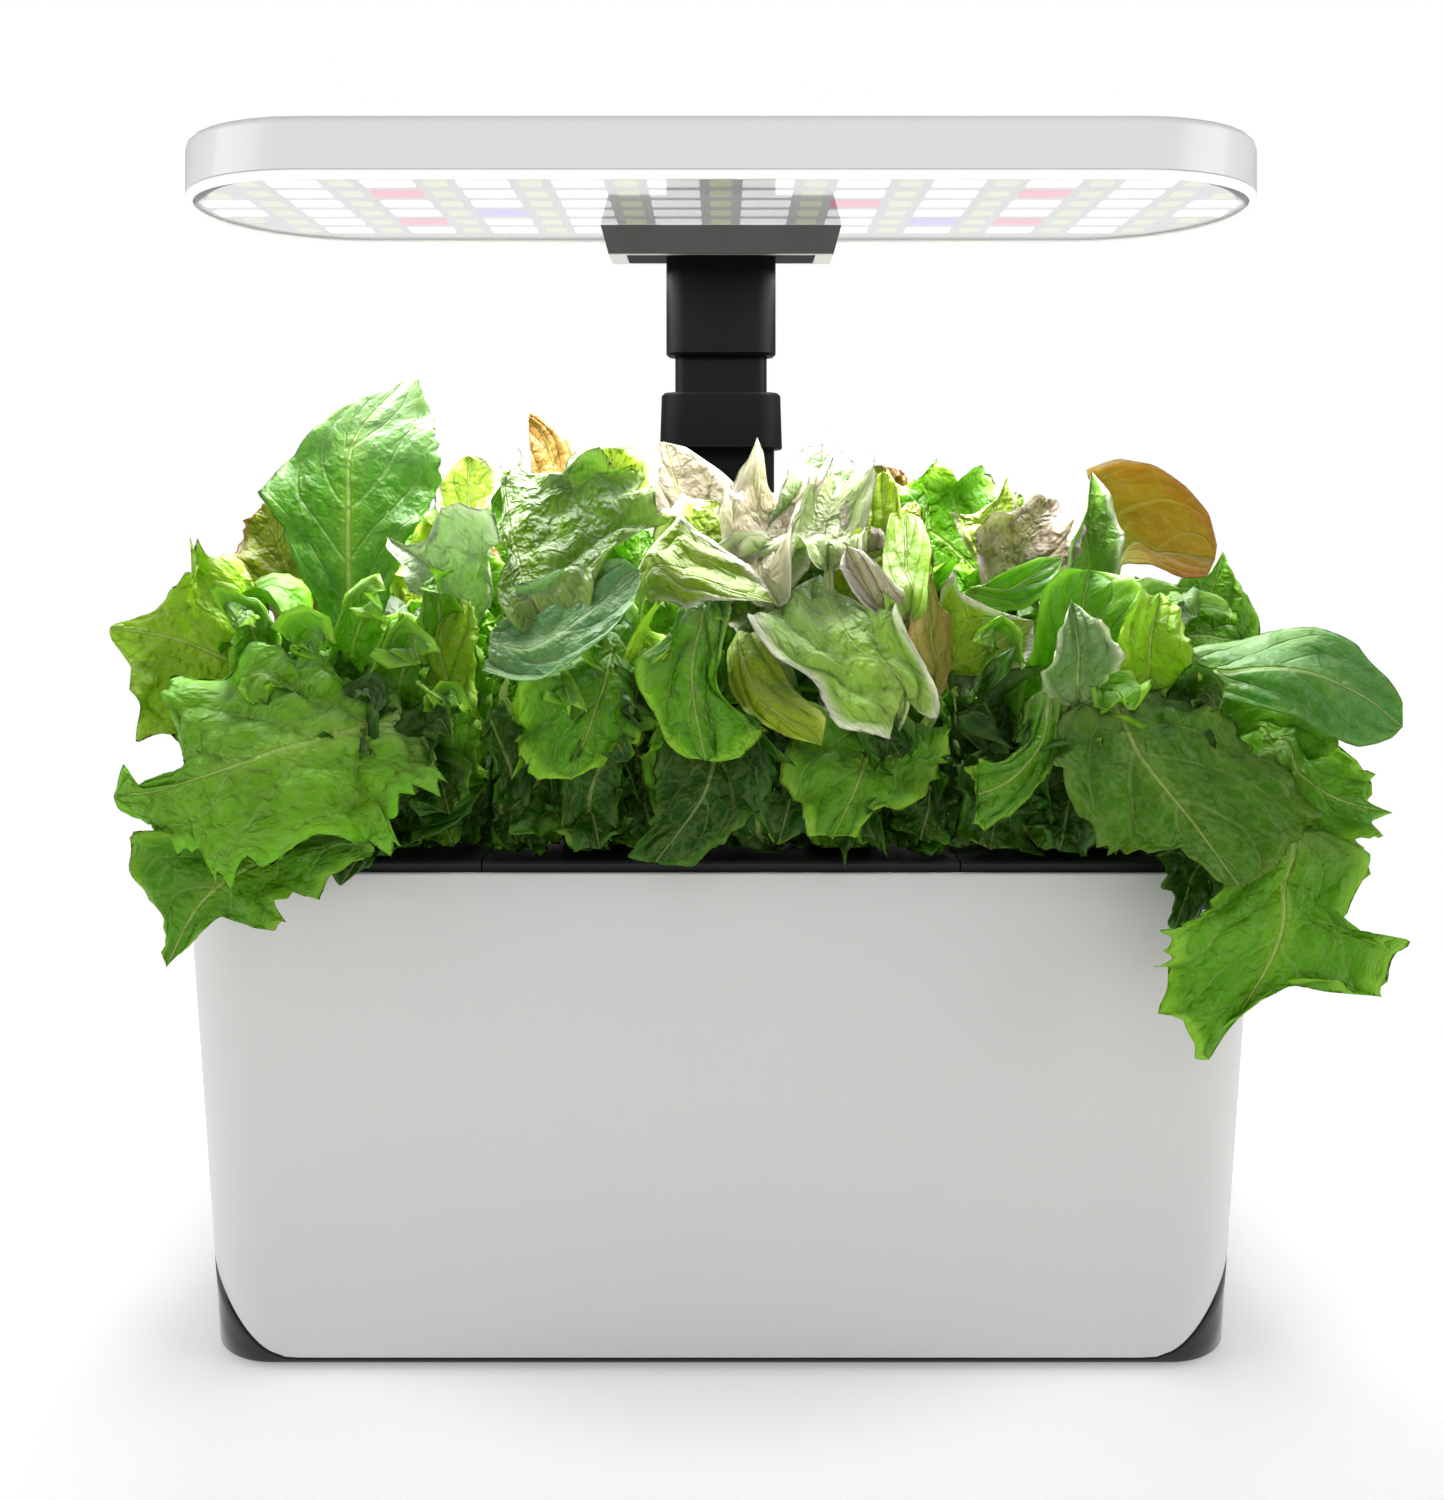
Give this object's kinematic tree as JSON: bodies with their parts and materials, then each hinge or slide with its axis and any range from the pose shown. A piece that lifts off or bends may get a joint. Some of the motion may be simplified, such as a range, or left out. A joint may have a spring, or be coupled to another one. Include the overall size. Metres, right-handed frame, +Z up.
{
  "type": "countertop hydroponic garden",
  "caption": "Tapered water tank with lettuce pods in a three-panel deck, and a stadium-shaped LED grow lamp on a telescopic post behind the plants.",
  "frame": {"origin": "on the table, under the middle of the object", "axes": "+Z up; +X along the long side, to the right as seen from the front; +Y towards the rear, where the post stands"},
  "size_m": [0.4983, 0.1998, 0.43],
  "materials": {
    "shell": "smooth satin-gloss pale warm grey",
    "base": "high-gloss black",
    "tank": "moulded dark grey",
    "rubber": "matt black",
    "steel": "plain",
    "circuit": "solder mask",
    "jack": "moulded black",
    "deck": "satin near-black",
    "basket": "moulded dark grey",
    "sponge": "open brown foam",
    "leaf": "living lettuce, translucent and puckered",
    "pump": "moulded dark grey",
    "pipe": "smoky grey",
    "bush": "slippery off-white",
    "float": "orange",
    "post": "satin black",
    "lamp": "smooth satin-gloss pale warm grey",
    "rim": "white",
    "lens": "clear glossy acrylic",
    "board": "pale grey coated, with light bars",
    "heat_plate": "plain",
    "mount_face": "satin dark grey"
  },
  "bodies": {
    "garden_base": {"outer_shell": "shell", "base_shell": "base", "water_tank": "tank", "foot_1": "rubber", "foot_2": "rubber", "foot_3": "rubber", "foot_4": "rubber", "base_screw_1": "steel", "base_screw_2": "steel", "base_screw_3": "steel", "base_screw_4": "steel", "power_board": "circuit", "dc_inlet": "jack", "centre_deck": "deck", "fill_lid_pin": "steel", "basket_centre_left": "basket", "basket_centre_right": "basket", "sponge_centre_left": "sponge", "sponge_centre_right": "sponge", "lettuce_centre_left": "leaf", "lettuce_centre_right": "leaf", "pump_body": "pump", "pump_cover": "pump", "pump_shaft": "steel", "pump_pipe": "pipe", "float_guide": "pipe", "post_lower_tube": "post", "post_bush": "bush", "post_collar": "post"},
    "left_tray": {"left_deck": "deck", "basket_left_front": "basket", "basket_left_rear": "basket", "sponge_left_front": "sponge", "sponge_left_rear": "sponge", "lettuce_left_front": "leaf", "lettuce_left_rear": "leaf"},
    "right_tray": {"right_deck": "deck", "basket_right_front": "basket", "basket_right_rear": "basket", "sponge_right_front": "sponge", "sponge_right_rear": "sponge", "lettuce_right_front": "leaf", "lettuce_right_rear": "leaf"},
    "lamp_head": {"post_inner_tube": "post", "post_sleeve": "post", "lamp_mount": "lamp", "mount_face": "mount_face", "mount_plate": "post", "lamp_housing": "lamp", "lamp_rim": "rim", "lamp_lens": "lens", "led_board": "board", "heat_plate": "heat_plate", "driver_board": "circuit"},
    "fill_lid": {"fill_lid": "deck"},
    "level_float": {"level_float": "float"},
    "light_button": {"light_button": "lamp"},
    "mode_button": {"mode_button": "lamp"},
    "pump_impeller": {"pump_impeller": "bush"}
  },
  "joints": [
    {"name": "post_slide", "type": "slide", "parent": "garden_base", "child": "lamp_head", "axis": [0, 0, 1], "range_m": [-0.0145, 0.1]},
    {"name": "left_tray_lift", "type": "slide", "parent": "garden_base", "child": "left_tray", "axis": [0, 0, 1], "range_m": [0, 0.03]},
    {"name": "right_tray_lift", "type": "slide", "parent": "garden_base", "child": "right_tray", "axis": [0, 0, 1], "range_m": [0, 0.03]},
    {"name": "fill_lid_hinge", "type": "hinge", "parent": "garden_base", "child": "fill_lid", "pos_m": [0.052, 0.0464, 0.1785], "axis": [-1, 0, 0], "range_deg": [0, 95]},
    {"name": "level_float_slide", "type": "slide", "parent": "garden_base", "child": "level_float", "axis": [0, 0, 1], "range_m": [0, 0.045]},
    {"name": "light_button_press", "type": "slide", "parent": "lamp_head", "child": "light_button", "axis": [0, 0, -1], "range_m": [0, 0.001], "stiffness_N_per_m": 600, "springref_m": -0.001},
    {"name": "mode_button_press", "type": "slide", "parent": "lamp_head", "child": "mode_button", "axis": [0, 0, -1], "range_m": [0, 0.001], "stiffness_N_per_m": 600, "springref_m": -0.001},
    {"name": "impeller_spin", "type": "hinge", "parent": "garden_base", "child": "pump_impeller", "pos_m": [0.0549, 0.026, 0.0405], "axis": [1, 0, 0], "continuous": true}
  ]
}
